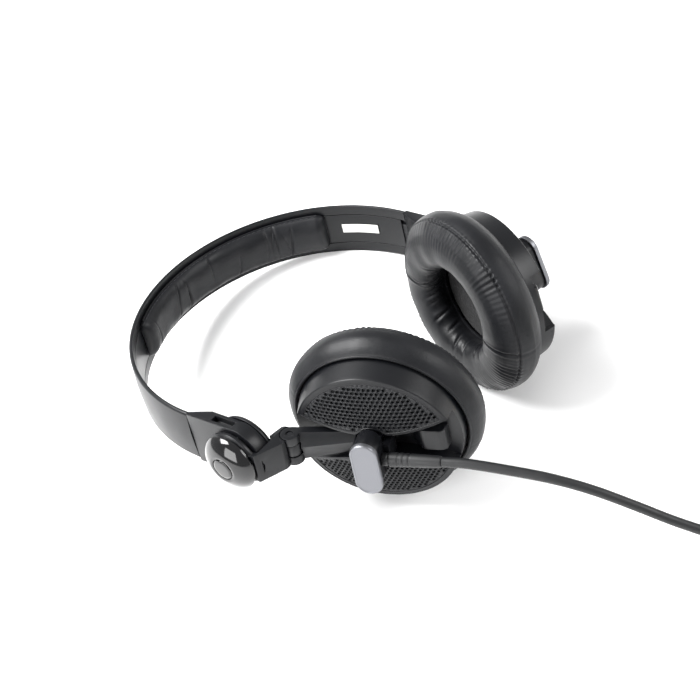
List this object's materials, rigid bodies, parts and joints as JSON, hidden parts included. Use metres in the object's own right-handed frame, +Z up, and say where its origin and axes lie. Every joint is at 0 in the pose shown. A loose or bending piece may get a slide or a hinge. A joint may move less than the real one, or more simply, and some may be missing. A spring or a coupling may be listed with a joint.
{
  "type": "headphones",
  "caption": "Closed over-ear headphones with a padded arc headband, swivelling ear cups on folding arms, perforated cup faces and a single coiled-up cord with a jack plug.",
  "frame": {"origin": "centre of the bounding box's base, without the cord, on the surface that the headphones lie on", "axes": "+Z up from the surface; +Y towards the crown of the headband; +X towards the right ear cup"},
  "size_m": [0.2132, 0.3884, 0.0923],
  "materials": {
    "plastic_satin": "satin black moulded plastic",
    "plastic_gloss": "glossy black plastic",
    "plastic_matt": "matt black plastic",
    "leatherette": "soft black leatherette",
    "steel": "bright steel",
    "silver": "silver metallic",
    "label": "plain white label",
    "cloth": "black knitted cloth",
    "film": "clear amber film",
    "cord_rubber": "matt black cord jacket",
    "gold": "gold plated plug"
  },
  "bodies": {
    "headband": {"headband_shell": "plastic_satin", "headband_spring": "steel", "headband_liner": "plastic_gloss", "head_pad": "leatherette", "rating_label": "label"},
    "left_slider": {"left_slider_strip": "steel", "left_pivot_housing": "plastic_satin", "left_pivot_rear_cap": "plastic_satin", "left_wave_washer": "steel"},
    "left_swivel": {"left_knuckle": "plastic_satin", "left_dome_cap": "plastic_gloss", "left_dome_button": "plastic_gloss", "left_pivot_bolt": "steel", "left_pivot_nut": "steel", "left_fold_pin": "steel"},
    "left_arm": {"left_arm": "plastic_satin", "left_badge": "silver", "left_strain_relief": "cord_rubber", "cord_tube": "cord_rubber", "cord_coil": "cord_rubber", "coil_tie": "cloth", "cord_tail": "cord_rubber", "plug_sleeve": "cord_rubber", "plug_adapter": "gold"},
    "left_gimbal": {"left_gimbal_block": "steel"},
    "left_cup": {"left_cup_shell": "plastic_satin", "left_grille_upper": "plastic_matt", "left_grille_lower": "plastic_matt", "left_baffle": "plastic_matt", "left_cushion_ring": "plastic_matt", "left_driver_frame": "plastic_satin", "left_driver_magnet": "steel", "left_diaphragm": "film", "left_driver_felt": "cloth", "left_ear_cushion": "leatherette"},
    "right_slider": {"right_slider_strip": "steel", "right_pivot_housing": "plastic_satin", "right_pivot_rear_cap": "plastic_satin", "right_wave_washer": "steel"},
    "right_swivel": {"right_knuckle": "plastic_satin", "right_dome_cap": "plastic_gloss", "right_dome_button": "plastic_gloss", "right_pivot_bolt": "steel", "right_pivot_nut": "steel", "right_fold_pin": "steel"},
    "right_arm": {"right_arm": "plastic_satin", "right_badge": "silver"},
    "right_gimbal": {"right_gimbal_block": "steel"},
    "right_cup": {"right_cup_shell": "plastic_satin", "right_grille_upper": "plastic_matt", "right_grille_lower": "plastic_matt", "right_baffle": "plastic_matt", "right_cushion_ring": "plastic_matt", "right_driver_frame": "plastic_satin", "right_driver_magnet": "steel", "right_diaphragm": "film", "right_driver_felt": "cloth", "right_ear_cushion": "leatherette"}
  },
  "joints": [
    {"name": "left_extend", "type": "hinge", "parent": "headband", "child": "left_slider", "pos_m": [0, 0.01514, 0.03307], "axis": [0.2014, 0.0901, 0.9753], "range_deg": [0, 6]},
    {"name": "left_swivel_turn", "type": "hinge", "parent": "left_slider", "child": "left_swivel", "pos_m": [-0.08521, -0.01162, 0.05314], "axis": [0.9795, -0.0185, -0.2006], "range_deg": [-82, 78]},
    {"name": "left_fold", "type": "hinge", "parent": "left_swivel", "child": "left_arm", "pos_m": [-0.07017, -0.03168, 0.05118], "axis": [0.2013, 0.0553, 0.978], "range_deg": [-22.8, 1.2]},
    {"name": "left_roll", "type": "hinge", "parent": "left_arm", "child": "left_gimbal", "pos_m": [-0.05242, -0.06611, 0.04947], "axis": [-0.3731, 0.9275, 0.0243], "range_deg": [-4, 12]},
    {"name": "left_tilt", "type": "hinge", "parent": "left_gimbal", "child": "left_cup", "pos_m": [-0.05242, -0.06611, 0.04947], "axis": [0.1376, 0.0294, 0.99], "range_deg": [-7, 7]},
    {"name": "right_extend", "type": "hinge", "parent": "headband", "child": "right_slider", "pos_m": [0, 0.01514, 0.03307], "axis": [-0.2014, -0.0901, -0.9753], "range_deg": [0, 6]},
    {"name": "right_swivel_turn", "type": "hinge", "parent": "right_slider", "child": "right_swivel", "pos_m": [0.08522, -0.01485, 0.01824], "axis": [0.9795, -0.0185, -0.2006], "range_deg": [-67, 93]},
    {"name": "right_fold", "type": "hinge", "parent": "right_swivel", "child": "right_arm", "pos_m": [0.07093, -0.03337, 0.02747], "axis": [-0.1963, -0.3118, -0.9297], "range_deg": [-11, 13]},
    {"name": "right_roll", "type": "hinge", "parent": "right_arm", "child": "right_gimbal", "pos_m": [0.06185, -0.06849, 0.04117], "axis": [0.1424, 0.929, -0.3417], "range_deg": [-14, 2]},
    {"name": "right_tilt", "type": "hinge", "parent": "right_gimbal", "child": "right_cup", "pos_m": [0.06185, -0.06849, 0.04117], "axis": [0.2966, 0.2893, 0.9101], "range_deg": [0, 14]}
  ]
}
